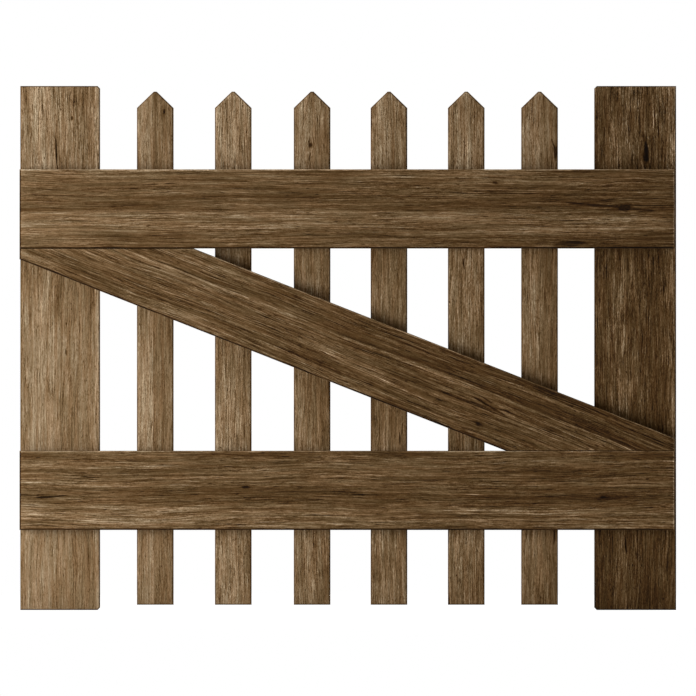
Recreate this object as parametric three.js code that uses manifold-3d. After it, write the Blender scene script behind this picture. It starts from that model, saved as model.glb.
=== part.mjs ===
// Garden gate leaf: two stiles and six pointed pickets, held by two rails and a diagonal brace.
// Units are millimetres and +Z is up. X runs across the gate and Y through it: the uprights lie
// behind the plane Y = 0, and the rails and the brace lie in front of it (-Y). The origin is at
// ground level, under the middle of the gate.

import * as THREE from 'three';
import { mergeVertices } from 'three/addons/utils/BufferGeometryUtils.js';
import Module from 'manifold-3d';

const wasm = await Module();
wasm.setup();

// ---------------------------------------------------------------- driving dimensions

const GATE_WIDTH = 1002;
const GATE_HEIGHT = 800;
const BOARD_THICKNESS = 20;
const EASED_EDGE = 1.2; // chamfer along every sawn edge

const LEFT_STILE_WIDTH = 121.7;
const RIGHT_STILE_WIDTH = 124.9;
const STILE_CORNER_CLIP = 3.7; // 45 degree cut on a stile's inner corners

const PICKET_WIDTH = 55.9;
const PICKET_CENTRES = [-294.3, -175.2, -54.8, 62.6, 180.6, 292.5]; // spaced by eye, so uneven
const PICKET_GROUND_GAP = 8;
const PICKET_SHOULDER_HEIGHT = 766.5;
const PICKET_POINT_RISE = 25;
const PICKET_TIP_WIDTH = 4.4;

const RAIL_WIDTH = 120.8;
const TOP_RAIL_HEIGHT = 551.8; // ground to the rail's lower edge
const BOTTOM_RAIL_HEIGHT = 122.4;
const RAIL_OVERHANG_LEFT = 0.7; // rail end beyond the left stile's outer edge
const RAIL_SETBACK_RIGHT = 3.3; // rail end short of the right stile's outer edge

const BRACE_WIDTH = 112.5;
const BRACE_ANGLE = THREE.MathUtils.degToRad(21.48); // below horizontal, falling to the right
const BRACE_HEEL_HEIGHT = 16.6; // upright cut at the brace's left end
const BRACE_GAP = 0.3; // between the brace's cut ends and the rails

const SCREW_LENGTH = 35;
const SCREW_HEAD_DIAMETER = 8;
const SCREW_HEAD_RIM = 0.5; // straight rim above the countersunk cone
const SCREW_SHANK_DIAMETER = 4;
const SCREW_POINT_LENGTH = 5;
const SCREW_POINT_DIAMETER = 0.8;
const SCREW_SUNK_DEPTH = 0.3; // head below the wood's face
const SCREW_CLEARANCE = 0.3; // all round the screw in its hole
const SCREW_SIDES = 8;
const RECESS_SPAN = 4.4; // cross recess in the head, tip to tip
const RECESS_SLOT = 1.1;
const RECESS_DEPTH = 1.6;
const CUT_PAST_FACE = 1; // how far a cutting tool stands out of the solid that it cuts

const STILE_SCREW_OFFSET = 34; // from the middle of a stile and rail crossing, both ways
const PICKET_SCREW_RISE = 32; // from the middle of a picket and rail crossing, up or down
const PICKET_SCREW_STAGGER = 9; // sideways, so that a pair doesn't split the grain
const BRACE_SCREW_SHIFT = 25; // from a stile's middle, towards the middle of the gate

// ---------------------------------------------------------------- worked-out places

const LEFT_EDGE = -GATE_WIDTH / 2;
const RIGHT_EDGE = GATE_WIDTH / 2;
const RAIL_START = LEFT_EDGE;
const RAIL_END = RIGHT_EDGE - RAIL_SETBACK_RIGHT;
const LEFT_STILE_OUTER = LEFT_EDGE + RAIL_OVERHANG_LEFT;
const LEFT_STILE_INNER = LEFT_STILE_OUTER + LEFT_STILE_WIDTH;
const RIGHT_STILE_INNER = RIGHT_EDGE - RIGHT_STILE_WIDTH;
const BOTTOM_RAIL_TOP = BOTTOM_RAIL_HEIGHT + RAIL_WIDTH;
const SCREW_HEAD_PLANE = BOARD_THICKNESS - SCREW_SUNK_DEPTH;

const BRACE_SLOPE = Math.tan(BRACE_ANGLE);
const BRACE_TOP_LIMIT = TOP_RAIL_HEIGHT - BRACE_GAP;
const BRACE_BOTTOM_LIMIT = BOTTOM_RAIL_TOP + BRACE_GAP;

// Heights of the brace's lower and upper edges, before its ends are cut, at a place across the gate.
const braceLowerEdge = (x) => TOP_RAIL_HEIGHT - BRACE_HEEL_HEIGHT - BRACE_SLOPE * (x - RAIL_START);
const braceUpperEdge = (x) => braceLowerEdge(x) + BRACE_WIDTH / Math.cos(BRACE_ANGLE);

// ---------------------------------------------------------------- materials

const wood = (color) => new THREE.MeshStandardMaterial({ color, roughness: 0.75, metalness: 0 });
const LEFT_STILE_WOOD = wood(0x8a7051);
const RIGHT_STILE_WOOD = wood(0x4e3b26);
const PICKET_WOOD = wood(0x76603f);
const RAIL_WOOD = wood(0x63492d);
const BRACE_WOOD = wood(0x5c442b);
const SCREW_STEEL = new THREE.MeshStandardMaterial({ color: 0x8f8a80, roughness: 0.4, metalness: 0.9 });

// ---------------------------------------------------------------- the boards and what they carry

const stiles = [
  { name: 'left_stile', outer: LEFT_STILE_OUTER, inner: LEFT_STILE_INNER, material: LEFT_STILE_WOOD },
  { name: 'right_stile', outer: RIGHT_EDGE, inner: RIGHT_STILE_INNER, material: RIGHT_STILE_WOOD },
];
const pickets = PICKET_CENTRES.map((centre, index) => ({ name: `picket_${index + 1}`, centre }));
const rails = [
  { name: 'top_rail', lowerEdge: TOP_RAIL_HEIGHT },
  { name: 'bottom_rail', lowerEdge: BOTTOM_RAIL_HEIGHT },
];
const BRACE_NAME = 'diagonal_brace';

// ---------------------------------------------------------------- solids and cuts

function toSolid(geometry) {
  const bare = geometry.clone();
  bare.deleteAttribute('normal');
  bare.deleteAttribute('uv');
  const merged = mergeVertices(bare);
  return new wasm.Manifold(
    new wasm.Mesh({
      numProp: 3,
      vertProperties: new Float32Array(merged.attributes.position.array),
      triVerts: new Uint32Array(merged.index.array),
    }),
  );
}

function toGeometry(solid) {
  const mesh = solid.getMesh();
  const geometry = new THREE.BufferGeometry();
  geometry.setAttribute('position', new THREE.BufferAttribute(mesh.vertProperties, 3));
  geometry.setIndex(new THREE.BufferAttribute(mesh.triVerts, 1));
  geometry.computeVertexNormals();
  return geometry;
}

function shapeFrom(points) {
  return new THREE.Shape(points.map(([x, y]) => new THREE.Vector2(x, y)));
}

// A board from its outline in the gate's plane, with every edge eased. Its rear face is at
// Y = backFace, and it reaches BOARD_THICKNESS forward of that.
function board(outline, backFace) {
  const geometry = new THREE.ExtrudeGeometry(shapeFrom(outline), {
    depth: BOARD_THICKNESS - 2 * EASED_EDGE,
    bevelThickness: EASED_EDGE,
    bevelSize: EASED_EDGE,
    bevelOffset: -EASED_EDGE,
    bevelSegments: 1,
  });
  geometry.translate(0, 0, EASED_EDGE - backFace);
  geometry.rotateX(Math.PI / 2);
  return geometry;
}

// ---------------------------------------------------------------- board outlines, as [x, z]

function stileOutline(outer, inner) {
  const clip = STILE_CORNER_CLIP * Math.sign(inner - outer);
  return [
    [outer, 0],
    [inner - clip, 0],
    [inner, STILE_CORNER_CLIP],
    [inner, GATE_HEIGHT - STILE_CORNER_CLIP],
    [inner - clip, GATE_HEIGHT],
    [outer, GATE_HEIGHT],
  ];
}

function picketOutline(centre) {
  const half = PICKET_WIDTH / 2;
  const tipHalf = PICKET_TIP_WIDTH / 2;
  const tipHeight = PICKET_SHOULDER_HEIGHT + PICKET_POINT_RISE;
  return [
    [centre - half, PICKET_GROUND_GAP],
    [centre + half, PICKET_GROUND_GAP],
    [centre + half, PICKET_SHOULDER_HEIGHT],
    [centre + tipHalf, tipHeight],
    [centre - tipHalf, tipHeight],
    [centre - half, PICKET_SHOULDER_HEIGHT],
  ];
}

function railOutline(lowerEdge) {
  return [
    [RAIL_START, lowerEdge],
    [RAIL_END, lowerEdge],
    [RAIL_END, lowerEdge + RAIL_WIDTH],
    [RAIL_START, lowerEdge + RAIL_WIDTH],
  ];
}

// A straight board laid on the slope: its ends are cut level along the rails' edges, and upright
// at the rails' ends.
function braceOutline() {
  const upperCutEnd = RAIL_START + (braceUpperEdge(RAIL_START) - BRACE_TOP_LIMIT) / BRACE_SLOPE;
  const lowerCutStart = RAIL_START + (braceLowerEdge(RAIL_START) - BRACE_BOTTOM_LIMIT) / BRACE_SLOPE;
  return [
    [RAIL_START, BRACE_TOP_LIMIT],
    [RAIL_START, braceLowerEdge(RAIL_START)],
    [lowerCutStart, BRACE_BOTTOM_LIMIT],
    [RAIL_END, BRACE_BOTTOM_LIMIT],
    [RAIL_END, braceUpperEdge(RAIL_END)],
    [upperCutEnd, BRACE_TOP_LIMIT],
  ];
}

// ---------------------------------------------------------------- screws

// Countersunk wood screw along Y, its head up (+Y) with its flat top at Y = 0. The profile runs
// from the point to the head's rim as [radius, y], and grow widens it all round.
function screwProfile(grow) {
  const headRadius = SCREW_HEAD_DIAMETER / 2;
  const shankRadius = SCREW_SHANK_DIAMETER / 2;
  const coneDepth = headRadius - shankRadius;
  return [
    [0, -SCREW_LENGTH - grow],
    [SCREW_POINT_DIAMETER / 2 + grow, -SCREW_LENGTH - grow],
    [shankRadius + grow, SCREW_POINT_LENGTH - SCREW_LENGTH],
    [shankRadius + grow, -SCREW_HEAD_RIM - coneDepth - grow],
    [headRadius + grow, -SCREW_HEAD_RIM - grow],
  ];
}

// The profile turned about Y, closed by straight walls up to a flat top.
function turned(profile, top) {
  const [mouthRadius] = profile.at(-1);
  const closed = [...profile, [mouthRadius, top], [0, top]];
  return new THREE.LatheGeometry(closed.map(([r, y]) => new THREE.Vector2(r, y)), SCREW_SIDES);
}

function crossRecess() {
  const half = RECESS_SLOT / 2;
  const reach = RECESS_SPAN / 2;
  const outline = [];
  for (let arm = 0; arm < 4; arm += 1) {
    const direction = (arm * Math.PI) / 2;
    for (const corner of [[reach, -half], [reach, half], [half, half]]) {
      outline.push(new THREE.Vector2(...corner).rotateAround(new THREE.Vector2(), direction));
    }
  }
  const geometry = new THREE.ExtrudeGeometry(new THREE.Shape(outline), {
    depth: RECESS_DEPTH + CUT_PAST_FACE,
    bevelEnabled: false,
  });
  geometry.rotateX(Math.PI / 2);
  geometry.translate(0, CUT_PAST_FACE, 0);
  return geometry;
}

function screwGeometry() {
  const body = turned(screwProfile(0), 0);
  return toGeometry(toSolid(body).subtract(toSolid(crossRecess())));
}

function screwHole() {
  return turned(screwProfile(SCREW_CLEARANCE), SCREW_SUNK_DEPTH + CUT_PAST_FACE);
}

// ---------------------------------------------------------------- where the screws go

// Four in a square where a stile crosses a rail.
function stileRailScrews(stile, rail) {
  const x = (stile.outer + stile.inner) / 2;
  const z = rail.lowerEdge + RAIL_WIDTH / 2;
  const screws = [];
  for (const [row, up] of [['upper', 1], ['lower', -1]]) {
    for (const [column, right] of [['left', -1], ['right', 1]]) {
      screws.push({
        name: `screw_${stile.name}_${rail.name}_${row}_${column}`,
        boards: [stile.name, rail.name],
        x: x + right * STILE_SCREW_OFFSET,
        z: z + up * STILE_SCREW_OFFSET,
      });
    }
  }
  return screws;
}

// Two, staggered, where a picket crosses a rail.
function picketRailScrews(picket, rail) {
  const z = rail.lowerEdge + RAIL_WIDTH / 2;
  return [['upper', 1], ['lower', -1]].map(([row, side]) => ({
    name: `screw_${picket.name}_${rail.name}_${row}`,
    boards: [picket.name, rail.name],
    x: picket.centre + side * PICKET_SCREW_STAGGER,
    z: z + side * PICKET_SCREW_RISE,
  }));
}

// One where an upright crosses the brace, half way between the brace's edges.
function braceScrew(uprightName, x) {
  const lower = Math.max(braceLowerEdge(x), BRACE_BOTTOM_LIMIT);
  const upper = Math.min(braceUpperEdge(x), BRACE_TOP_LIMIT);
  const z = (lower + upper) / 2;
  return { name: `screw_${uprightName}_brace`, boards: [uprightName, BRACE_NAME], x, z };
}

function stileBraceScrew(stile) {
  const middle = (stile.outer + stile.inner) / 2;
  return braceScrew(stile.name, middle - Math.sign(middle) * BRACE_SCREW_SHIFT);
}

const screws = [
  ...rails.flatMap((rail) => stiles.flatMap((stile) => stileRailScrews(stile, rail))),
  ...rails.flatMap((rail) => pickets.flatMap((picket) => picketRailScrews(picket, rail))),
  ...pickets.map((picket) => braceScrew(picket.name, picket.centre)),
  ...stiles.map(stileBraceScrew),
];

// ---------------------------------------------------------------- assembly

const holeGeometry = screwHole();

// A board with a hole for every screw that passes through it or ends in it.
function drilledBoard(name, outline, backFace, material) {
  let solid = toSolid(board(outline, backFace));
  for (const screw of screws.filter((each) => each.boards.includes(name))) {
    const cutter = holeGeometry.clone().translate(screw.x, SCREW_HEAD_PLANE, screw.z);
    solid = solid.subtract(toSolid(cutter));
  }
  const mesh = new THREE.Mesh(toGeometry(solid), material);
  mesh.name = name;
  return mesh;
}

const uprights = new THREE.Group();
for (const { name, outer, inner, material } of stiles) {
  uprights.add(drilledBoard(name, stileOutline(outer, inner), BOARD_THICKNESS, material));
}
for (const { name, centre } of pickets) {
  uprights.add(drilledBoard(name, picketOutline(centre), BOARD_THICKNESS, PICKET_WOOD));
}

const ledges = new THREE.Group();
for (const { name, lowerEdge } of rails) {
  ledges.add(drilledBoard(name, railOutline(lowerEdge), 0, RAIL_WOOD));
}
ledges.add(drilledBoard(BRACE_NAME, braceOutline(), 0, BRACE_WOOD));

const fixings = new THREE.Group();
const oneScrew = screwGeometry();
for (const { name, x, z } of screws) {
  const screw = new THREE.Mesh(oneScrew, SCREW_STEEL);
  screw.name = name;
  screw.position.set(x, SCREW_HEAD_PLANE, z);
  fixings.add(screw);
}

const gate = new THREE.Group();
gate.add(uprights, ledges, fixings);

export default gate;
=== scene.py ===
"""Looks for the garden gate leaf: weathered boards with rounded and worn arrises, splits and knots,
countersunk wood screws, soft light from the left, and a camera square on to the rails.
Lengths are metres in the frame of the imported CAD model: +X across the gate, +Z up, and +Y from the
face with the rails towards the face with the pickets. MM turns millimetres into metres."""

import math

import bmesh
import bpy
import numpy as np
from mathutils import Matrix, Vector, geometry


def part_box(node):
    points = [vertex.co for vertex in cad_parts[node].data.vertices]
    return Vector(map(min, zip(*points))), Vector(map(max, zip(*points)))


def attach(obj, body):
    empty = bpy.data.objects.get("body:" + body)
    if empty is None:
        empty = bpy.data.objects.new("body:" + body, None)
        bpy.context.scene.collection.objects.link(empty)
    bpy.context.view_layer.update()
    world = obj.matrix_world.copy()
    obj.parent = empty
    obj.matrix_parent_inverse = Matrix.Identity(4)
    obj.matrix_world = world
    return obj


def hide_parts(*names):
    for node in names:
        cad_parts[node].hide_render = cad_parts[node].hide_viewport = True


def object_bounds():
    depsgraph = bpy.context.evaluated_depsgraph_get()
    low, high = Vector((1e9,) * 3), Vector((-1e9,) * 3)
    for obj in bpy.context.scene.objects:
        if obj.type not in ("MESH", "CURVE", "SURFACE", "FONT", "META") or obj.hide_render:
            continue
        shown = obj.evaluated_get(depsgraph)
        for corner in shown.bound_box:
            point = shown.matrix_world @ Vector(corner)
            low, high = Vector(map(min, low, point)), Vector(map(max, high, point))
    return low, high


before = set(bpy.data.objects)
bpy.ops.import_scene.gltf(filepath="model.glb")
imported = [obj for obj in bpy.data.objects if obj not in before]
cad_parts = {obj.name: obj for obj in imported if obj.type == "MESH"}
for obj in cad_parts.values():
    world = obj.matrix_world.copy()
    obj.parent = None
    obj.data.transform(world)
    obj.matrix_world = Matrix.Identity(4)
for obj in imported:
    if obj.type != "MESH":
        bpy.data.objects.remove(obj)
CAD_LOW, CAD_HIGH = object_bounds()
MM = 0.001

PICKETS = [f"picket_{number}" for number in range(1, 7)]
STILES = ["left_stile", "right_stile"]
TOP_RAIL = "top_rail"
RAILS = [TOP_RAIL, "bottom_rail"]
BRACE = "diagonal_brace"
BOARDS = STILES + PICKETS + RAILS + [BRACE]
SCREWS = sorted(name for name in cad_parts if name.startswith("screw_"))


# ---------------------------------------------------------------- camera, lights and floor

CAMERA_DISTANCE = 20.0  # far off with a long lens, so that the view is almost parallel
FRAME_WIDTH = 1.0624  # how much of the gate's plane the picture takes in
SENSOR_WIDTH = 36.0  # millimetres, as camera sensors are given
AMBIENT = 0.335
AMBIENT_COLOUR = (1.0, 0.9, 0.77)
KEY_OFFSET = (-3.1, -1.4, 0.15)  # this and the other offsets are from the gate's middle
KEY_SIZE = 1.5
KEY_WATTS = 191
KEY_COLOUR = (1.0, 1.0, 1.02)
BACK_OFFSET = (2.2, 2.4, 1.4)
BACK_SIZE = 1.5
BACK_WATTS = 110
SKY_OFFSET = (-0.2, 0.1, 3.0)
SKY_SIZE = 1.0
SKY_WATTS = 50
WHITE = (1.0, 1.0, 1.0)
FLOOR_RADIUS = 1.3
FLOOR_SIDES = 96
FLOOR_LUMPS = (60, 60, 60)  # size in mm of the floor's faint clouds
FLOOR_TONES = [(0.3, (225, 225, 225)), (0.7, (238, 238, 238))]
FLOOR_ROUGHNESS = 0.9
FLOOR_GLOW = 0.96  # with the light that falls on FLOOR_UNDER_GLOW, this looks evenly white
FLOOR_UNDER_GLOW = (45, 45, 45)


def middle():
    return (CAD_LOW + CAD_HIGH) / 2


def add_object(name, data):
    made = bpy.data.objects.new(name, data)
    bpy.context.scene.collection.objects.link(made)
    return made


def make_camera():
    data = bpy.data.cameras.new("camera")
    data.sensor_width = SENSOR_WIDTH
    data.lens = SENSOR_WIDTH * CAMERA_DISTANCE / FRAME_WIDTH
    data.clip_end = 3 * CAMERA_DISTANCE
    camera = add_object("camera", data)
    camera.location = middle() - Vector((0, CAMERA_DISTANCE, 0))
    camera.rotation_euler = (math.pi / 2, 0, 0)
    bpy.context.scene.camera = camera


def make_soft_light(name, offset, size, watts, colour):
    """A square lamp at an offset from the gate's middle, turned to face it."""
    data = bpy.data.lights.new(name, "AREA")
    data.size = size
    data.energy = watts
    data.color = colour
    lamp = add_object(name, data)
    lamp.location = middle() + Vector(offset)
    lamp.rotation_euler = (-Vector(offset)).to_track_quat("-Z", "Y").to_euler()


def make_world():
    """A white surround for the camera, which lights the gate more gently than it looks."""
    world = bpy.data.worlds.new("white_surround")
    world.use_nodes = True
    tree = world.node_tree
    seen = tree.nodes["Background"]
    seen.inputs["Color"].default_value = (*WHITE, 1)
    ambient = tree.nodes.new("ShaderNodeBackground")
    ambient.inputs["Color"].default_value = (*AMBIENT_COLOUR, 1)
    ambient.inputs["Strength"].default_value = AMBIENT
    path = tree.nodes.new("ShaderNodeLightPath")
    mix = tree.nodes.new("ShaderNodeMixShader")
    tree.links.new(path.outputs["Is Camera Ray"], mix.inputs["Fac"])
    tree.links.new(ambient.outputs["Background"], mix.inputs[1])
    tree.links.new(seen.outputs["Background"], mix.inputs[2])
    tree.links.new(mix.outputs["Shader"], tree.nodes["World Output"].inputs["Surface"])
    bpy.context.scene.world = world


def make_floor():
    """A pale matt disc that the stiles stand on. The camera sees it as white as the surround."""
    turns = [2 * math.pi * step / FLOOR_SIDES for step in range(FLOOR_SIDES)]
    ring = []
    for turn in turns:
        ring.append((FLOOR_RADIUS * math.cos(turn), FLOOR_RADIUS * math.sin(turn), CAD_LOW.z))
    mesh = bpy.data.meshes.new("floor")
    mesh.from_pydata(ring, [], [range(FLOOR_SIDES)])
    floor = add_object("floor", mesh)
    nodes = Nodes("pale_floor")
    path = nodes.tree.nodes.new("ShaderNodeLightPath")
    seen = Flow(nodes, path.outputs["Is Camera Ray"])
    cloud = nodes.noise(nodes.place(), FLOOR_LUMPS, 3)
    pale = nodes.ramp(cloud, FLOOR_TONES)
    nodes.set("Base Color", nodes.blend(seen, pale, linear(FLOOR_UNDER_GLOW)))
    nodes.set("Roughness", FLOOR_ROUGHNESS)
    nodes.set("Emission Color", (*WHITE, 1))
    nodes.set("Emission Strength", seen * FLOOR_GLOW)
    mesh.materials.append(nodes.material)


def make_lights():
    """A soft key light that grazes the gate from the left, one for its far side, one from above."""
    make_world()
    make_soft_light("key", KEY_OFFSET, KEY_SIZE, KEY_WATTS, KEY_COLOUR)
    make_soft_light("back", BACK_OFFSET, BACK_SIZE, BACK_WATTS, WHITE)
    make_soft_light("sky", SKY_OFFSET, SKY_SIZE, SKY_WATTS, WHITE)


# ---------------------------------------------------------------- building materials


def linear(colour):
    """An (r, g, b) from 0 to 255, as the eye sees it, as the linear (r, g, b, 1) that nodes use."""
    channels = [c / 255 for c in colour]
    return [c / 12.92 if c <= 0.04045 else ((c + 0.055) / 1.055) ** 2.4 for c in channels] + [1.0]


class Flow:
    """A value that runs through a material's nodes, so that formulas read as plain Python."""

    def __init__(self, nodes, source):
        self.nodes = nodes
        self.source = source

    def math(self, operation, *others):
        node = self.nodes.tree.nodes.new("ShaderNodeMath")
        node.operation = operation
        for socket, value in zip(node.inputs, (self, *others)):
            self.nodes.join(value, socket)
        return Flow(self.nodes, node.outputs[0])

    def __add__(self, other):
        return self.math("ADD", other)

    def __sub__(self, other):
        return self.math("SUBTRACT", other)

    def __rsub__(self, other):
        return self * -1 + other

    def __mul__(self, other):
        return self.math("MULTIPLY", other)

    def __truediv__(self, other):
        return self.math("DIVIDE", other)

    def __abs__(self):
        return self.math("ABSOLUTE")

    __radd__ = __add__
    __rmul__ = __mul__

    def least(self, other):
        return self.math("MINIMUM", other)

    def most(self, other):
        return self.math("MAXIMUM", other)

    def rise(self, low, high):
        """0 below low and 1 above high, with a smooth step between; falls if low is above high."""
        if low > high:
            return 1 - self.rise(high, low)
        node = self.nodes.tree.nodes.new("ShaderNodeMapRange")
        node.interpolation_type = "SMOOTHSTEP"
        self.nodes.join(self, node.inputs["Value"])
        node.inputs["From Min"].default_value = low
        node.inputs["From Max"].default_value = high
        return Flow(self.nodes, node.outputs["Result"])


NOISE_SPREAD = 500  # how far apart, in lumps, the places are where each noise is taken


class Nodes:
    """The node tree of one new material, with its Principled shader."""

    def __init__(self, name, seed=0):
        self.material = bpy.data.materials.new(name)
        self.material.use_nodes = True
        self.tree = self.material.node_tree
        self.shader = self.tree.nodes["Principled BSDF"]
        self.random = np.random.default_rng(seed)

    def join(self, value, socket):
        if isinstance(value, Flow):
            self.tree.links.new(value.source, socket)
        else:
            socket.default_value = value

    def set(self, socket, value):
        self.join(value, self.shader.inputs[socket])

    def vector(self, operation, *values):
        node = self.tree.nodes.new("ShaderNodeVectorMath")
        node.operation = operation
        for socket, value in zip(node.inputs, values):
            self.join(value, socket)
        scalar = operation in ("DOT_PRODUCT", "LENGTH")
        return Flow(self, node.outputs["Value" if scalar else "Vector"])

    def place(self):
        """Where the surface is, in millimetres in the object's own frame."""
        node = self.tree.nodes.new("ShaderNodeTexCoord")
        return self.vector("MULTIPLY", Flow(self, node.outputs["Object"]), (1 / MM, 1 / MM, 1 / MM))

    def combine(self, x, y, z):
        node = self.tree.nodes.new("ShaderNodeCombineXYZ")
        for socket, value in zip(node.inputs, (x, y, z)):
            self.join(value, socket)
        return Flow(self, node.outputs[0])

    def noise(self, place, size, detail=1.0):
        """Cloudy noise from 0 to 1 with lumps about as large as size, different at each call."""
        shift = tuple(self.random.uniform(-NOISE_SPREAD, NOISE_SPREAD, 3))
        moved = self.vector("MULTIPLY_ADD", place, tuple(1 / s for s in size), shift)
        node = self.tree.nodes.new("ShaderNodeTexNoise")
        self.join(moved, node.inputs["Vector"])
        node.inputs["Scale"].default_value = 1.0
        node.inputs["Detail"].default_value = detail
        return Flow(self, node.outputs[0])

    def ramp(self, value, stops):
        """A colour or a number that follows stops of (place, colour or number)."""
        node = self.tree.nodes.new("ShaderNodeValToRGB")
        elements = node.color_ramp.elements
        while len(elements) < len(stops):
            elements.new(1.0)
        for element, (place, found) in zip(elements, stops):
            element.position = place
            element.color = linear(found) if isinstance(found, tuple) else (found, found, found, 1)
        self.join(value, node.inputs["Fac"])
        return Flow(self, node.outputs["Color"])

    def blend(self, share, one, other):
        """A mix of two colours: one where share is 0, the other where it is 1."""
        node = self.tree.nodes.new("ShaderNodeMix")
        node.data_type = "RGBA"
        colours = [socket for socket in node.inputs if socket.type == "RGBA"]
        self.join(share, node.inputs["Factor"])
        self.join(one, colours[0])
        self.join(other, colours[1])
        return Flow(self, next(socket for socket in node.outputs if socket.type == "RGBA"))

    def bump(self, height, distance):
        """Small relief from a height of about 0 to 1 that stands for the distance given."""
        node = self.tree.nodes.new("ShaderNodeBump")
        node.inputs["Distance"].default_value = distance
        self.join(height, node.inputs["Height"])
        self.set("Normal", Flow(self, node.outputs["Normal"]))


# ---------------------------------------------------------------- where the boards are


DIGITS = 5  # places, in metres, are the same when they agree to this many decimals
LEAST_TURN = 0.02  # sine of the smallest turn that makes a corner


def outline_of(name):
    """Corners of a board seen square on, as (x, z), going round anticlockwise."""
    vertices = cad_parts[name].data.vertices
    points = {(round(v.co.x, DIGITS), round(v.co.z, DIGITS)) for v in vertices}
    points = [Vector(point) for point in sorted(points)]
    hull = [points[i] for i in geometry.convex_hull_2d(points)]
    corners = []
    for i, corner in enumerate(hull):
        before = (corner - hull[i - 1]).normalized()
        after = (hull[(i + 1) % len(hull)] - corner).normalized()
        if abs(before.cross(after)) > LEAST_TURN:
            corners.append(corner)
    return corners


def lengthened(outline):
    """The brace's outline with its level ends moved up and down to meet the rails."""
    heights = [corner.y for corner in outline]
    centre = sum(heights) / len(heights)
    moved = []
    for corner in outline:
        if corner.y in (max(heights), min(heights)):
            corner = corner + Vector((0, math.copysign(BUTT_GAP, corner.y - centre)))
        moved.append(corner)
    return moved


class Board:
    """A board's place: its outline, its faces, and its directions along and across the grain."""

    def __init__(self, name):
        self.name = name
        self.seed = 100 + BOARDS.index(name)
        self.low, self.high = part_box(name)
        self.middle = (self.low + self.high) / 2
        self.outline = outline_of(name) if name != BRACE else lengthened(outline_of(name))
        edges = [corner - self.outline[i - 1] for i, corner in enumerate(self.outline)]
        grain = max(edges, key=lambda edge: edge.length).normalized()
        if grain.x + grain.y < 0:
            grain = -grain
        upright = grain.y > grain.x
        self.grain = Vector((grain.x, 0, grain.y))
        self.across = Vector((grain.y, 0, -grain.x)) if upright else Vector((-grain.y, 0, grain.x))
        self.edges = []  # (outward normal, furthest reach along it) of each straight edge
        for i, corner in enumerate(self.outline):
            edge = (corner - self.outline[i - 1]).normalized()
            normal = Vector((edge.y, 0, -edge.x))
            self.edges.append((normal, normal.x * corner.x + normal.z * corner.y))

    def at(self, along, across):
        """The point at distances in mm along and across the grain from the board's middle."""
        return self.middle + (along * self.grain + across * self.across) * MM

    def from_edge(self, points):
        """How far inside the board's outline each of some points is."""
        return np.min([reach - points @ np.array(normal) for normal, reach in self.edges], axis=0)

    def holds(self, x, z):
        return all(normal.x * x + normal.z * z < reach for normal, reach in self.edges)


# ---------------------------------------------------------------- board meshes

BUTT_GAP = 0.25 * MM  # most of the clearance between the brace and the rails, which wood closes up
ARRIS = 1.4 * MM  # radius of a board's rounded edges
ARRIS_RINGS = 4
SIDE_RINGS = 6  # between the two arrises of a board's edge
ALONG_STEP = 7.0 * MM
ACROSS_STEP = 1.7 * MM
UPRIGHT = 1e-4  # an edge whose normal has less than this across the board is one of its ends


class Sections:
    """A convex outline cut by lines across the board, with its edges moved in by any inset."""

    def __init__(self, board):
        self.along = 0 if board.high.x - board.low.x > board.high.z - board.low.z else 1
        self.corners = [(corner[self.along], corner[1 - self.along]) for corner in board.outline]
        if self.along == 1:
            self.corners.reverse()
        self.normals = []
        for i, (a, c) in enumerate(self.corners):
            a_before, c_before = self.corners[i - 1]
            length = math.hypot(a - a_before, c - c_before)
            self.normals.append(((c - c_before) / length, -(a - a_before) / length))
        stops = sorted({round(a, DIGITS) for a, c in self.corners})
        self.counts = [max(1, round((b - a) / ALONG_STEP)) for a, b in zip(stops, stops[1:])]
        width = max(board.across.dot(board.middle - self.point(a, c)) for a, c in self.corners)
        self.steps_across = round(2 * width / ACROSS_STEP)

    def point(self, a, c, y=0.0):
        return Vector((a, y, c) if self.along == 0 else (c, y, a))

    def corner_stops(self, inset):
        """How far along the board its corners are, once its edges are moved in."""
        stops = {}
        for i, (a, c) in enumerate(self.corners):
            (na, nc), (ma, mc) = self.normals[i], self.normals[(i + 1) % len(self.corners)]
            p = na * a + nc * c - inset
            q = ma * a + mc * c - inset
            stops.setdefault(round(a, DIGITS), []).append((p * mc - q * nc) / (na * mc - nc * ma))
        return [sum(found) / len(found) for a, found in sorted(stops.items())]

    def grid(self, inset):
        """Places along and across the board, as two arrays of [line, step along the line]."""
        stops = self.corner_stops(inset)
        spans = zip(stops, stops[1:], self.counts)
        a = np.concatenate([np.linspace(low, high, n, endpoint=False) for low, high, n in spans])
        a = np.append(a, stops[-1])
        low = np.full_like(a, -math.inf)
        high = np.full_like(a, math.inf)
        for (na, nc), (corner_a, corner_c) in zip(self.normals, self.corners):
            reach = na * corner_a + nc * corner_c - inset
            if nc < -UPRIGHT:
                low = np.maximum(low, (reach - na * a) / nc)
            elif nc > UPRIGHT:
                high = np.minimum(high, (reach - na * a) / nc)
        share = np.linspace(0, 1, self.steps_across + 1)
        return np.repeat(a[:, None], len(share), 1), low[:, None] + (high - low)[:, None] * share


def border(rows, columns):
    """The places round the edge of a grid, as (row, column), going round once."""
    lower = [(i, 0) for i in range(rows - 1)]
    end = [(rows - 1, j) for j in range(columns - 1)]
    upper = [(i, columns - 1) for i in range(rows - 1, 0, -1)]
    start = [(0, j) for j in range(columns - 1, 0, -1)]
    return lower + end + upper + start


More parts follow.
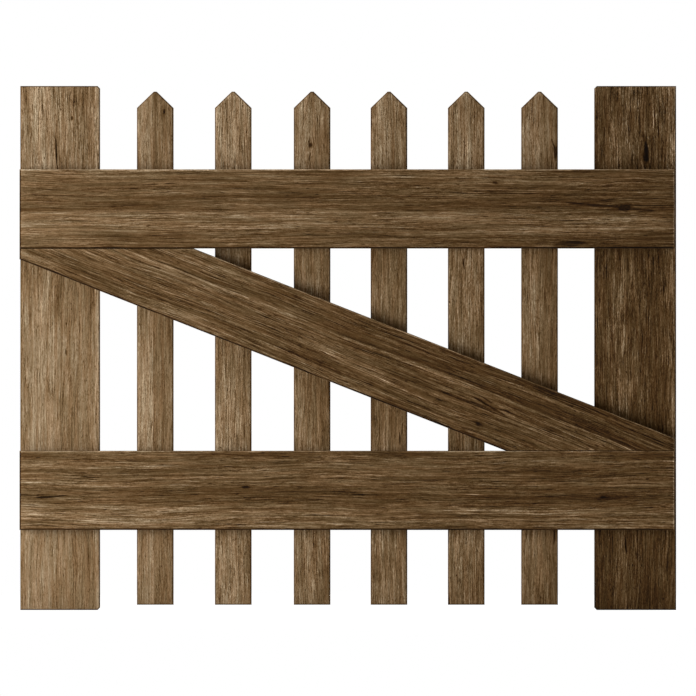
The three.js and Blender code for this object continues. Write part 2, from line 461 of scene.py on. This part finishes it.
def rim_rings(board):
    """Insets and heights of the rings between the two faces, round both arrises and the edge."""
    arris = []
    for step in range(ARRIS_RINGS + 1):
        turn = math.pi / 2 * step / ARRIS_RINGS
        arris.append((ARRIS * (1 - math.sin(turn)), ARRIS * (1 - math.cos(turn))))
    rise = board.high.y - board.low.y - 2 * ARRIS
    edge = [(0.0, ARRIS + rise * step / SIDE_RINGS) for step in range(1, SIDE_RINGS)]
    front = [(inset, board.low.y + depth) for inset, depth in arris + edge]
    return front + [(inset, board.high.y - depth) for inset, depth in reversed(arris)]


def board_mesh(board):
    """A closed board: a grid on each face, and rings round its arrises and edges."""
    sections = Sections(board)
    rings = rim_rings(board)
    points = []

    def add(a, c, y):
        start = len(points)
        points.extend(sections.point(p, q, y) for p, q in zip(a, c))
        return start

    a, c = sections.grid(ARRIS)
    rows, columns = a.shape
    i, j = np.array(border(rows, columns)).T
    front = add(a.ravel(), c.ravel(), rings[0][1])
    back = add(a.ravel(), c.ravel(), rings[-1][1])
    loops = [front + i * columns + j]
    for inset, y in rings[1:-1]:
        a, c = sections.grid(inset)
        loops.append(add(a[i, j], c[i, j], y) + np.arange(len(i)))
    loops.append(back + i * columns + j)

    row, column = np.meshgrid(np.arange(rows - 1), np.arange(columns - 1), indexing="ij")
    corner = (row * columns + column).ravel()
    quads = np.stack([corner, corner + columns, corner + columns + 1, corner + 1], 1)
    faces = [front + quads, back + quads[:, ::-1]]
    for near, far in zip(loops, loops[1:]):
        faces.append(np.stack([near, far, np.roll(far, -1), np.roll(near, -1)], 1))
    faces = np.concatenate(faces)
    if sections.along == 1:
        faces = faces[:, ::-1]
    return new_mesh(board.name, points, faces.tolist())


def new_mesh(name, points, faces):
    mesh = bpy.data.meshes.new(name)
    mesh.from_pydata(points, [], faces)
    mesh.update()
    return mesh


# ---------------------------------------------------------------- wear on the boards

GRAIN_RELIEF = 0.10 * MM
HOLLOWS = 0.18 * MM  # shallow unevenness of the faces
ARRIS_RUB = 0.7 * MM  # most that an arris is rubbed away
CHIP = 1.3 * MM  # depth of a chip
WORN_WIDTH = 4.5 * MM  # how far from an arris the rubbing reaches
HELD_WIDTH = 6.0 * MM  # how far in from a board's edge the board under it is held flat
# Sizes of the lumps of each kind of wear, in mm along the grain, across it and through the board.
RUB_LUMPS = (35, 25, 25)
CHIP_LUMPS = (9, 7, 7)
GRAIN_LUMPS = (60, 3.6, 3.6)
HOLLOW_LUMPS = (160, 35, 35)
CHIP_RARITY = 3.9  # of the noise times CHIP_STEEPNESS, how much must be passed to make a chip
CHIP_STEEPNESS = 5
NOISE_TABLE = 4096  # random numbers that lumps draws on
NOISE_STRIDES = (7919, 104729, 1299709)  # primes that scatter the cells over that table


def lumps(places, size, seed):
    """Smooth noise from 0 to 1 at an array of places, with lumps about as large as size."""
    table = np.random.default_rng(seed).random(NOISE_TABLE)
    scaled = places / np.array(size)
    cell = np.floor(scaled).astype(int)
    part = scaled - cell
    part = part * part * (3 - 2 * part)
    total = 0.0
    for corner in np.ndindex(2, 2, 2):
        index = (cell + corner) @ np.array(NOISE_STRIDES)
        share = np.prod(np.where(corner, part, 1 - part), axis=1)
        total = total + share * table[index % NOISE_TABLE]
    return total


def held_flat(board, points):
    """1 where a board lies against another and stays flat, 0 at the other's edges and beyond."""
    flat = np.zeros(len(points))
    against = RAILS + [BRACE] if board.name in STILES + PICKETS else STILES + PICKETS
    for other in map(Board, against):
        flat = np.maximum(flat, np.clip(other.from_edge(points) / HELD_WIDTH, 0, 1))
    return flat * (np.abs(points[:, 1] - middle().y) < MM)


def weather(board, mesh):
    """Moves a board's surface inwards: raised grain, hollows, and rubbed and chipped arrises."""
    count = len(mesh.vertices)
    points = np.zeros(count * 3)
    normals = np.zeros(count * 3)
    mesh.vertices.foreach_get("co", points)
    mesh.vertex_normals.foreach_get("vector", normals)
    points, normals = points.reshape(-1, 3), normals.reshape(-1, 3)
    axes = np.array([board.grain, board.across, (0, 1, 0)])
    places = (points - np.array(board.middle)) @ axes.T / MM
    from_edge = board.from_edge(points)
    from_face = np.minimum(points[:, 1] - board.low.y, board.high.y - points[:, 1])
    worn = np.clip(1 - np.hypot(from_edge, from_face) / WORN_WIDTH, 0, 1)
    rub = lumps(places, RUB_LUMPS, board.seed) * ARRIS_RUB
    chipped = lumps(places, CHIP_LUMPS, board.seed + 20) * CHIP_STEEPNESS - CHIP_RARITY
    chips = np.clip(chipped, 0, 1) * CHIP
    grain = lumps(places, GRAIN_LUMPS, board.seed + 40) * GRAIN_RELIEF
    hollows = lumps(places, HOLLOW_LUMPS, board.seed + 60) * HOLLOWS
    facing = np.abs(normals[:, 1]) * (1 - held_flat(board, points))
    depth = facing * (grain + hollows) + worn * (rub + chips)
    mesh.vertices.foreach_set("co", (points - normals * depth[:, None]).ravel())
    mesh.update()


# ---------------------------------------------------------------- splits and screw holes

# Splits in a board's front face: (along, across) of one end, (along, across) of the other, and
# the width where it is widest, in mm from the middle of the board.
SPLITS = {
    "left_stile": [(325, -7, 268, -4, 2.0)],
    "bottom_rail": [(-476, -11, -428, -8, 2.2)],
    "diagonal_brace": [(206, 3, 240, -1, 1.3)],
    "picket_5": [(137, -4, 122, -3.5, 1.2)],
    "picket_4": [(-130, 16.5, -146, 17, 1.2)],
    "right_stile": [(-288, -15, -314, -14, 1.6)],
}
SPLIT_DEPTH = 4.0 * MM
SPLIT_STEPS = 8
SPLIT_TIP = 0.05  # width and depth at a split's ends, as shares of the most
SPLIT_FULLNESS = 0.8  # how soon it widens from its ends: less is sooner
SPLIT_WANDER = 0.5 * MM
SPLIT_BEND = 7  # radians of wander from one end to the other
SPLIT_FLARE = 1.2  # the cutting shape is this much wider, because its top stands above the face
ABOVE_FACE = 1.0 * MM  # how far a cutting shape stands out of the surface that it cuts
BOARD_CREASE = 38  # degrees: sharper edges than this are shaded sharp
SCREW_CREASE = 35


def split_mesh(board, split):
    """A thin wedge that follows the grain, to cut a split into the board's front face."""
    start, end = board.at(*split[0:2]), board.at(*split[2:4])
    points = []
    for step in range(SPLIT_STEPS + 1):
        share = step / SPLIT_STEPS
        swell = SPLIT_TIP + (1 - SPLIT_TIP) * math.sin(math.pi * share) ** SPLIT_FULLNESS
        wander = board.across * SPLIT_WANDER * math.sin(SPLIT_BEND * share)
        centre = start.lerp(end, share) + wander
        half = board.across * split[4] * MM / 2 * swell
        for side in (half, -half):
            above = Vector((centre.x, board.low.y - ABOVE_FACE, centre.z))
            points.append(above + side * SPLIT_FLARE)
        points.append(Vector((centre.x, board.low.y + SPLIT_DEPTH * swell, centre.z)))
    faces = [(0, 2, 1)]
    for step in range(SPLIT_STEPS):
        n = 3 * step
        for one, two in ((0, 1), (1, 2), (2, 0)):
            faces.append((n + one, n + two, n + two + 3, n + one + 3))
    n = 3 * SPLIT_STEPS
    faces.append((n, n + 1, n + 2))
    return outward(new_mesh("split", points, faces))


def outward(mesh):
    """The mesh with its faces turned to point out."""
    shape = bmesh.new()
    shape.from_mesh(mesh)
    bmesh.ops.recalc_face_normals(shape, faces=shape.faces)
    shape.to_mesh(mesh)
    shape.free()
    return mesh


def cut(thing, tool):
    """Takes a tool mesh away from an object's mesh."""
    cutter = add_object("cutter", tool)
    modifier = thing.modifiers.new("cut", "BOOLEAN")
    modifier.operation = "DIFFERENCE"
    modifier.solver = "MANIFOLD"
    modifier.object = cutter
    graph = bpy.context.evaluated_depsgraph_get()
    thing.data = bpy.data.meshes.new_from_object(thing.evaluated_get(graph), depsgraph=graph)
    thing.modifiers.clear()
    bpy.data.objects.remove(cutter)
    bpy.data.meshes.remove(tool)


def join_meshes(meshes):
    shape = bmesh.new()
    for mesh in meshes:
        shape.from_mesh(mesh)
    whole = bpy.data.meshes.new("joined")
    shape.to_mesh(whole)
    shape.free()
    return whole


def shade(mesh, angle):
    """Smooth shading, with the edges sharper than an angle left sharp."""
    mesh.shade_smooth()
    mesh.set_sharp_from_angle(angle=math.radians(angle))


def make_board(board):
    mesh = board_mesh(board)
    weather(board, mesh)
    made = add_object(board.name + "_wood", mesh)
    holes = [hole_mesh(*screw_axis(name)) for name in SCREWS if board.holds(*screw_axis(name))]
    cut(made, join_meshes(holes))
    for split in SPLITS.get(board.name, []):
        cut(made, split_mesh(board, split))
    shade(made.data, BOARD_CREASE)
    made.data.materials.clear()
    made.data.materials.append(wood(board))
    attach(made, "root")
    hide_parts(board.name)


# ---------------------------------------------------------------- screws

SCREW_SIDES = 32
HOLE_CLEARANCE = 0.3 * MM
POINT_LENGTH = 5 * MM
POINT_RADIUS = 0.4 * MM
HEAD_RIM = 0.5 * MM
# Rings up the head: depth below its top, as a share of the rim, and radius as a share of the head's.
HEAD_RINGS = [(1.0, 0.985), (0.8, 1.0), (0.35, 1.0), (0.1, 0.97), (0.0, 0.9), (0.0, 0.6)]
THREAD_PITCH = 1.8 * MM
THREAD_SIDES = 28
THREAD_SHARPNESS = 3.2  # how fast the thread falls away from its crest
POINT_SHARE = 0.12  # radius at the very point, as a share of the shank's
THREAD_ROWS = 5  # rows of points to each turn of the thread
PLAIN_SHANK = 9 * MM  # smooth length below the head
CORE_SHARE = 0.68  # radius between the threads, as a share of the shank's
RECESS_DEPTH = 1.6 * MM
RECESS_TOP = (4.4 * MM, 1.1 * MM)  # length and width of each arm of the cross
RECESS_BOTTOM = (1.6 * MM, 0.7 * MM)


def screw_axis(name):
    low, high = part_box(name)
    return (low.x + high.x) / 2, (low.z + high.z) / 2


def screw_size():
    """Head radius, shank radius, and the y of the point and of the head's top."""
    low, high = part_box(SCREWS[0])
    head = (high.x - low.x) / 2
    return head, head / 2, low.y, high.y


def turned(rings, sides, x=0.0, z=0.0):
    """A closed solid round a line along Y. Each ring is a y and a function from turn to radius;
    the first and last rings close to points."""
    points = [(x, rings[0][0], z)]
    for y, radius in rings[1:-1]:
        for side in range(sides):
            turn = 2 * math.pi * side / sides
            points.append((x + radius(turn) * math.cos(turn), y, z + radius(turn) * math.sin(turn)))
    points.append((x, rings[-1][0], z))
    last = len(points) - 1
    faces = []
    for side in range(sides):
        following = (side + 1) % sides
        faces.append((0, 1 + side, 1 + following))
        for ring in range(len(rings) - 3):
            near, far = 1 + ring * sides, 1 + (ring + 1) * sides
            faces.append((near + side, far + side, far + following, near + following))
        near = 1 + (len(rings) - 3) * sides
        faces.append((near + side, last, near + following))
    return outward(new_mesh("turned", points, faces))


def round_ring(y, radius):
    return y, lambda turn: radius


def hole_mesh(x, z):
    """The space of one screw, with a little clearance, open at the head."""
    head, shank, tip, top = screw_size()
    gap = HOLE_CLEARANCE
    rings = [
        round_ring(tip - gap, 0),
        round_ring(tip - gap, POINT_RADIUS + gap),
        round_ring(tip + POINT_LENGTH, shank + gap),
        round_ring(top - HEAD_RIM - (head - shank) - gap, shank + gap),
        round_ring(top - HEAD_RIM - gap, head + gap),
        round_ring(top + ABOVE_FACE + gap, head + gap),
        round_ring(top + ABOVE_FACE + gap, 0),
    ]
    return turned(rings, SCREW_SIDES, x, z)


def thread_ring(y, shank, top):
    """A section through the thread: its crest turns with height, and it tapers to the point."""
    tip = screw_size()[2]
    taper = min(1.0, POINT_SHARE + (1 - POINT_SHARE) * (y - tip) / POINT_LENGTH)
    fade = min(1.0, (top - y) / (2 * THREAD_PITCH))

    def radius(turn):
        phase = (y / THREAD_PITCH - turn / (2 * math.pi)) % 1.0
        crest = max(0.0, 1 - abs(phase - 0.5) * THREAD_SHARPNESS)
        smooth = 1 - (1 - CORE_SHARE) * fade
        return shank * taper * (smooth + (1 - smooth) * crest)

    return y, radius


def shank_mesh():
    """The threaded part of a screw, up to where the smooth shank meets the head."""
    head, shank, tip, top = screw_size()
    neck = top - HEAD_RIM - (head - shank)
    thread_top = neck - PLAIN_SHANK
    rows = round((thread_top - tip) / THREAD_PITCH * THREAD_ROWS)
    rings = [round_ring(tip, 0)]
    for row in range(rows):
        rings.append(thread_ring(tip + (thread_top - tip) * row / rows, shank, thread_top))
    rings += [round_ring(thread_top, shank), round_ring(neck, shank)]
    rings += [round_ring(top - HEAD_RIM * depth, head * share) for depth, share in HEAD_RINGS]
    rings.append(round_ring(top, 0))
    return turned(rings, THREAD_SIDES)


def recess_arm(turned_over):
    """A tapered slot in the top of the head: one of the two arms of the cross."""
    top = screw_size()[3]
    points = []
    for (length, width), y in ((RECESS_TOP, top + ABOVE_FACE), (RECESS_BOTTOM, top - RECESS_DEPTH)):
        for x, z in ((1, 1), (-1, 1), (-1, -1), (1, -1)):
            place = (x * length / 2, z * width / 2)
            x_place, z_place = place[::-1] if turned_over else place
            points.append((x_place, y, z_place))
    faces = [(0, 1, 2, 3), (7, 6, 5, 4)]
    faces += [(side, side + 4, (side + 1) % 4 + 4, (side + 1) % 4) for side in range(4)]
    return outward(new_mesh("recess", points, faces))


def make_screws():
    """Every screw has the same mesh, turned at random about its own axis."""
    model = add_object("screw", shank_mesh())
    cut(model, recess_arm(False))
    cut(model, recess_arm(True))
    shade(model.data, SCREW_CREASE)
    model.data.materials.clear()
    model.data.materials.append(steel())
    random = np.random.default_rng(7)
    for name in SCREWS:
        x, z = screw_axis(name)
        made = add_object(name + "_steel", model.data)
        made.location = (x, 0, z)
        made.rotation_euler = (0, random.uniform(0, math.pi / 2), 0)
        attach(made, "root")
        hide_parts(name)
    bpy.data.objects.remove(model)


# ---------------------------------------------------------------- wood

# How light each board is, 1 being PLAIN_BROWN: at its left or lower end, in the middle, and at
# the other end. Besides the wood's own tone they hold painted shade: the right stile darker at its
# foot, picket_4 darker in its middle, and the rails and the brace darker towards the right.
TONES = {
    "left_stile": (1.25, 1.37, 1.31),
    "right_stile": (0.65, 0.83, 1.00),
    "picket_1": (1.19, 1.31, 1.22),
    "picket_2": (1.25, 1.36, 1.46),
    "picket_3": (1.12, 1.24, 1.25),
    "picket_4": (1.23, 1.13, 1.34),
    "picket_5": (1.11, 1.17, 1.39),
    "picket_6": (0.97, 1.16, 1.19),
    "top_rail": (1.06, 0.96, 0.82),
    "bottom_rail": (1.05, 0.88, 0.82),
    "diagonal_brace": (1.09, 0.90, 0.63),
}
# How strong each board's grain is, at the same three places.
CONTRASTS = {
    "left_stile": (0.6, 0.7, 1.0),
    "right_stile": (1.45, 1.45, 1.8),
    "picket_1": (0.7, 0.7, 0.7),
    "picket_2": (0.95, 0.95, 0.95),
    "picket_3": (0.9, 0.9, 0.9),
    "picket_4": (0.95, 0.95, 0.95),
    "picket_5": (1.05, 1.05, 1.05),
    "picket_6": (0.9, 0.9, 0.9),
    "top_rail": (1.0, 1.2, 1.4),
    "bottom_rail": (1.15, 1.25, 1.45),
    "diagonal_brace": (1.25, 1.35, 1.55),
}
# How a board's tone changes from its left or lower edge (0) to its right or upper edge (1). The
# pale strip at the left stile's right edge is a painted highlight.
BANDS = {
    "left_stile": [(0, 0.9), (0.1, 1.06), (0.35, 1.15), (0.55, 0.95), (0.93, 0.88), (0.95, 1.2)],
    "right_stile": [(0, 0.85), (0.12, 0.93), (0.35, 1.12), (0.6, 0.94), (0.87, 0.93), (0.96, 1.16)],
    "picket_1": [(0, 1.1), (0.43, 1.25), (0.46, 0.82), (1, 0.92)],
    "picket_2": [(0, 1.0), (0.55, 1.07), (0.75, 0.95), (1, 0.93)],
    "picket_3": [(0, 1.02), (0.2, 1.14), (0.5, 0.98), (1, 0.92)],
    "picket_4": [(0, 0.95), (0.4, 1.12), (0.6, 0.94), (1, 0.92)],
    "picket_5": [(0, 1.0), (0.2, 1.08), (0.4, 0.99), (0.6, 1.07), (1, 0.9)],
    "picket_6": [(0, 0.98), (0.4, 1.14), (0.65, 0.96), (0.85, 0.86), (1, 0.92)],
    "top_rail": [
        (0, 0.9), (0.14, 0.96), (0.25, 1.1), (0.46, 1.14), (0.48, 0.86), (0.66, 0.86),
        (0.7, 0.98), (0.85, 1.06), (1, 1.0),
    ],
    "bottom_rail": [
        (0, 0.99), (0.08, 1.17), (0.24, 1.1), (0.34, 0.9), (0.52, 0.86), (0.56, 1.03),
        (0.8, 1.02), (1, 0.88),
    ],
    "diagonal_brace": [
        (0, 0.95), (0.08, 1.06), (0.2, 0.92), (0.4, 1.05), (0.61, 1.07), (0.63, 1.35),
        (0.645, 1.3), (0.66, 0.84), (0.83, 0.98), (1, 0.9),
    ],
}

# Knots in a board's front face: (along, across, half length, half width), in mm from its middle.
KNOTS = {
    "left_stile": [(351, 18, 3, 2)],
    "right_stile": [(295, 16, 13, 6)],
    "picket_1": [(362, 14, 5, 2)],
    "picket_3": [(310, -1.6, 4, 3)],
    "picket_6": [(299, 25, 9, 4)],
    "top_rail": [(422, 2, 13, 5), (226, 40, 5, 2.4)],
    "bottom_rail": [(-154, 5, 6, 2), (391, -10, 6, 2)],
    "diagonal_brace": [(227, -32, 6, 3)],
}

# Dark streaks in a board's front face: ends as for splits, and the width in mm.
STREAKS = {
    "top_rail": [
        (335, 9, 415, 3, 5), (430, 0, 470, -3, 3), (-332, 31, -318, 31, 2),
        (-278, 39, -262, 39, 2), (315, -54, 365, -52, 8),
    ],
    "bottom_rail": [
        (-482, -12, -425, -7.5, 3), (435, 48, 450, 47, 2), (-100, 52, -88, 52, 2),
        (-420, 10, -395, 11, 1.5),
    ],
    "left_stile": [(330, -8, 262, -3, 3), (0, 9, -12, 9, 2)],
    "right_stile": [(330, 12, 270, 22, 7), (-285, -16, -316, -13, 4), (250, 3, 290, 4, 3)],
    "picket_3": [(300, -2, 285, -4, 2)],
    "picket_4": [(-128, 16, -148, 17, 2.5)],
    "picket_5": [(138, -5, 120, -3, 2.5)],
    "picket_6": [(320, 18, 299, 25, 2), (-265, 24, -300, 22, 3)],
    "diagonal_brace": [(200, 5, 262, -5, 4), (215, 9, 238, 5, 2), (255, 3, 268, 2, 2.5)],
}
BROWN_RANGE = 200  # brightness, of 255, of the palest wood in BROWNS
PLAIN_BROWN = 77.3  # brightness, of 255, where a board's tone is 1
EVEN_DETAIL = 0.87  # brings the mean of the grain's detail back to 1
BROWNS = [  # the wood's colours by brightness: the darker, the redder
    (0, (4, 2, 1)),
    (15, (24, 14, 6)),
    (30, (53, 34, 13)),
    (50, (75, 55, 29)),
    (70, (96, 75, 49)),
    (90, (118, 96, 68)),
    (112, (138, 118, 92)),
    (150, (176, 156, 127)),
    (200, (226, 201, 172)),
]
REDDER = (1.022, 0.976, 0.95, 1.0)  # the wood's colour drifts between this tint and the next
GREYER = (0.972, 1.006, 1.034, 1.0)
WOOD_SPECULAR = 0.06  # dry, weathered wood hardly shines
WOOD_RELIEF = 0.25 * MM
UPRIGHT_FIBRES = 0.48  # length of the fibres in the uprights
LEDGE_FIBRES = 0.95  # and in the rails and the brace

# How strongly each kind of mark darkens or lightens the wood.
RUBBED = 0.14  # arrises, paler
UPRIGHT_EDGE_LINE = 0.55  # a darker line along the uprights' edges
LOWER_EDGE_SHADE = 0.74  # painted shade along the left and lower edges of the rails and the brace
UPPER_EDGE_HIGHLIGHT = 0.75  # painted highlight along their upper and right edges
KNOT_HEART = 0.5
KNOT_SHADOW = 0.2
STREAK_DARK = 0.62
# painted shade on the uprights below the top rail and the brace
SHADE_UNDER_BOARDS = 0.14

LEVEL = 0.99  # an edge is level if its normal is this much up or down
PITH = (0, 9, 46)  # added to a place in the grain, measures it from the tree's middle, in mm
RINGS = 1.9  # radians of growth ring to each mm
SHADE_UNDER_REACH = 95  # mm below the top rail or the brace


def wood(board):
    """Weathered, brown-stained wood, whose grain follows the board and shows on its ends too."""
    nodes = Nodes(board.name + "_wood", board.seed)
    place = nodes.place()
    along, across, depth = grain_place(nodes, board, place)
    knots = [(knot_distance(along, across, knot), knot) for knot in KNOTS.get(board.name, [])]
    front = depth.rise(-7, -9)  # marks are on the front face only
    grain = bent_grain(nodes, along, across, depth, knots)

    length = fibre_length(board.name)
    detail = streaky(nodes, grain, length) * fibres(nodes, grain, length) * EVEN_DETAIL
    tone = (detail * bands(nodes, board, across, grain)).math("POWER", from_end(board, along, CONTRASTS))
    # the tones hold painted shade as well as the wood's own tone
    tone = tone * from_end(board, along, TONES)
    for distance, knot in knots:
        tone = tone * knot_tone(nodes, grain, distance, front)
    for streak in STREAKS.get(board.name, []):
        tone = tone * streak_tone(nodes, grain, along, across, streak, front)
    # arris_tone paints highlight and shade along the edges of the rails and the brace
    tone = tone * arris_tone(nodes, board, place, grain, depth) * end_tone(nodes, board, place, grain)
    if board.name in STILES + PICKETS:
        # painted shade below the top rail and the brace
        tone = tone * painted_shade_tone(nodes, place, front)
    stops = [(level / BROWN_RANGE, colour) for level, colour in BROWNS]
    colour = nodes.ramp(tone * (PLAIN_BROWN / BROWN_RANGE), stops)
    drift = nodes.noise(grain, (70, 6, 6), 3)
    tint = nodes.blend(drift.rise(0.35, 0.65), REDDER, GREYER)
    nodes.set("Base Color", nodes.vector("MULTIPLY", colour, tint))
    rough = nodes.noise(grain, (25, 4, 4), 2)
    nodes.set("Roughness", 0.7 + rough * 0.3)
    nodes.set("Specular IOR Level", WOOD_SPECULAR)
    nodes.bump(tone, WOOD_RELIEF)
    return nodes.material


def board_reach(board, axis):
    """How far in mm a board goes each way from its middle along a direction in its face."""
    reach = []
    for corner in board.outline:
        reach.append(axis.dot(Vector((corner.x, board.middle.y, corner.y)) - board.middle))
    return min(reach) / MM, max(reach) / MM


def from_end(board, along, table):
    """A number that changes along the board, through the three that a table gives."""
    start, halfway, end = table[board.name]
    low, high = board_reach(board, board.grain)
    to_halfway = (along / -low).least(0) * (halfway - start)
    to_end = (along / high).most(0) * (end - halfway)
    return to_halfway + to_end + halfway


def fibre_length(name):
    """How long the fibres are, as a share of the sizes given below."""
    return UPRIGHT_FIBRES if name in STILES + PICKETS else LEDGE_FIBRES


def grain_place(nodes, board, place):
    """Distances in mm from the board's middle along the grain, across it, and through the board."""
    found = []
    for axis in (board.grain, board.across, Vector((0, 1, 0))):
        start = axis.dot(board.middle) / MM
        found.append(nodes.vector("DOT_PRODUCT", place, tuple(axis)) - start)
    return found


def knot_distance(along, across, knot):
    """How far out of a knot the surface is, 1 being the knot's own edge."""
    x = (along - knot[0]) / knot[2]
    z = (across - knot[1]) / knot[3]
    return (x * x + z * z).math("SQRT")


def bent_grain(nodes, along, across, depth, knots):
    """The place in the grain, whose lines wander slowly and part round the knots."""
    flat = nodes.combine(along, across, depth)
    wide = (nodes.noise(flat, (260, 70, 70)) - 0.5) * 16
    narrow = (nodes.noise(flat, (60, 18, 18)) - 0.5) * 3
    line = across + (wide + narrow)
    for distance, knot in knots:
        near = (distance * 0.45).rise(1.6, 0.0)
        line = line - (across - knot[1]) * near * 0.6
    return nodes.combine(along, line, depth)


def bands(nodes, board, across, grain):
    """Broad bands of tone that run the length of the board."""
    low, high = board_reach(board, board.across)
    waver = (nodes.noise(grain, (220, 300, 300)) - 0.5) * 5
    share = (across + waver - low) / (high - low)
    stops = [(place, level / 2) for place, level in BANDS[board.name]]
    return nodes.ramp(share, stops) * 2


def streaky(nodes, grain, length):
    """Streaks a few millimetres to a few centimetres wide."""
    broad = (nodes.noise(grain, (330 * length, 18, 18), 1) - 0.5) * 0.5
    narrow = (nodes.noise(grain, (170 * length, 5, 5), 2) - 0.5) * 0.8
    cloud = (nodes.noise(grain, (90 * length, 30, 30), 2) - 0.5) * 0.35
    return 1 + broad + narrow + cloud


def fibres(nodes, grain, length):
    """Single fibres of several lengths, dark pores and pale flecks, rougher here and there."""
    long = (nodes.noise(grain, (150 * length, 1.3, 1.3)) - 0.5) * 1.15
    middling = (nodes.noise(grain, (45 * length, 1.2, 1.2)) - 0.5) * 1.05
    short = (nodes.noise(grain, (11 * length, 1.2, 1.2)) - 0.5) * 0.85
    specks = (nodes.noise(grain, (2.4, 1.2, 1.2)) - 0.5) * 0.6
    raised = 0.75 + nodes.noise(grain, (80 * length, 14, 14), 1).rise(0.35, 0.65) * 0.5
    hairlines = nodes.noise(grain, (60 * length, 1.2, 1.2)).rise(0.58, 0.72) * 0.4
    pores = 1 - nodes.noise(grain, (15 * length, 1.6, 1.6), 1).rise(0.66, 0.78) * 0.6
    flecks = nodes.noise(grain, (24 * length, 1.6, 1.6), 1).rise(0.62, 0.8) * 0.4
    lines = (long + middling + short + specks) * raised
    return (1.04 + lines + flecks - hairlines).most(0.2) * pores


def knot_tone(nodes, grain, distance, front):
    """Dark heartwood in the knot, with a dark ring and a softer shadow round it."""
    ragged = distance + (nodes.noise(grain, (12, 2, 2), 2) - 0.5) * 1.8
    return 1 - (ragged.rise(1.2, 0.5) * KNOT_HEART + ragged.rise(3.0, 0.8) * KNOT_SHADOW) * front


def streak_tone(nodes, grain, along, across, streak, front):
    """A thin dark streak with ragged edges that fades at both ends."""
    start_along, start_across, end_along, end_across, width = streak
    slope = (end_across - start_across) / (end_along - start_along)
    line = abs(across - start_across - (along - start_along) * slope)
    half = abs(end_along - start_along) / 2
    end = abs(along - (start_along + end_along) / 2) / half
    rough = (nodes.noise(grain, (14, 1.6, 1.6), 2) - 0.5) * 2.2
    ragged = line / (width / 2) + end * end * 0.7 + rough
    return 1 - ragged.rise(1.5, 0.3) * end.rise(1.15, 0.85) * front * STREAK_DARK


def edge_distance(nodes, edges, place):
    """Distance in mm inwards from the nearest of some edges, seen square on."""
    nearest = None
    for normal, reach in edges:
        distance = reach / MM - nodes.vector("DOT_PRODUCT", place, tuple(normal))
        nearest = distance if nearest is None else nearest.least(distance)
    return nearest


def arris_tone(nodes, board, place, grain, depth):
    """Rubbed, paler arrises, with a thin darker line along the uprights' edges. On the rails and the
    brace, a painted highlight along the upper and right edges and painted shade along the lower and
    left ones. The brace's level ends have no line."""
    inside = edge_distance(nodes, board.edges, place)
    ragged = inside + (nodes.noise(grain, (30, 9, 9), 2) - 0.5) * 4
    rubbed = ragged.rise(3.6, 1.2) * inside.rise(0.5, 1.4) * RUBBED
    face = abs(depth).rise(7.4, 9.0)  # the lines keep to the arrises, off the boards' edges
    if board.name in STILES + PICKETS:
        return 1 + rubbed - inside.rise(2.5, 1.1) * face * UPRIGHT_EDGE_LINE
    # on the rails and the brace: painted highlight on edges facing up or right, painted shade on the
    # rest
    free = [edge for edge in board.edges if not (board.name == BRACE and abs(edge[0].z) > LEVEL)]
    highlit_edges = [edge for edge in free if edge[0].x + edge[0].z > 0]
    shaded_edges = [edge for edge in free if edge not in highlit_edges]
    pale = edge_distance(nodes, highlit_edges, place).rise(2.4, 1.0) * UPPER_EDGE_HIGHLIGHT
    edge_shade = edge_distance(nodes, shaded_edges, place).rise(3.1, 1.7) * LOWER_EDGE_SHADE
    return 1 + rubbed + (pale - edge_shade) * face


def end_tone(nodes, board, place, grain):
    """Darker end grain, crossed by the arcs of the growth rings."""
    ends = [edge for edge in board.edges if abs(edge[0].dot(board.grain)) > 0.5]
    if not ends:
        return 1
    cut = edge_distance(nodes, ends, place).rise(0.45, 0.15)
    pith = nodes.vector("MULTIPLY", nodes.vector("ADD", grain, PITH), (0, 1, 1))
    radius = nodes.vector("LENGTH", pith) + (nodes.noise(grain, (9, 9, 9), 1) - 0.5) * 3
    rings = (radius * RINGS).math("SINE")
    return 1 - cut * (0.2 - rings * 0.16)


def painted_shade_tone(nodes, place, front):
    """Painted shade: the uprights are darker below the top rail and the brace, as if shaded by them."""
    shaded = None
    for board in (Board(TOP_RAIL), Board(BRACE)):
        start = board.across.dot(board.middle) / MM
        height = nodes.vector("DOT_PRODUCT", place, tuple(board.across)) - start
        below = board_reach(board, board.across)[0] - height
        near = below.rise(SHADE_UNDER_REACH, 0) * below.rise(-50, -20)
        shaded = near if shaded is None else shaded.most(near)
    return 1 - shaded * front * SHADE_UNDER_BOARDS


# ---------------------------------------------------------------- screw steel


DULL_ZINC = [(0.3, (80, 79, 75)), (0.7, (132, 130, 124))]
RUST = (104, 62, 36)
STEEL_RELIEF = 0.03 * MM
STEEL_SEED = 900


def steel():
    """Zinc-plated steel, dulled outdoors, with specks of rust."""
    nodes = Nodes("weathered_zinc", STEEL_SEED)
    place = nodes.place()
    cloud = nodes.noise(place, (1.6, 1.6, 1.6), 3)
    rust = nodes.noise(place, (2.4, 2.4, 2.4), 4).rise(0.56, 0.7)
    zinc = nodes.ramp(cloud, DULL_ZINC)
    nodes.set("Base Color", nodes.blend(rust * 0.8, zinc, linear(RUST)))
    nodes.set("Metallic", 1 - rust * 0.7)
    nodes.set("Roughness", 0.36 + cloud * 0.2 + rust * 0.3)
    nodes.bump(nodes.noise(place, (0.5, 0.5, 0.5), 3) + rust * 0.5, STEEL_RELIEF)
    return nodes.material


# ---------------------------------------------------------------- the scene

make_camera()
make_lights()
make_floor()
for board_name in BOARDS:
    make_board(Board(board_name))
make_screws()
bpy.context.scene.view_settings.view_transform = "Standard"
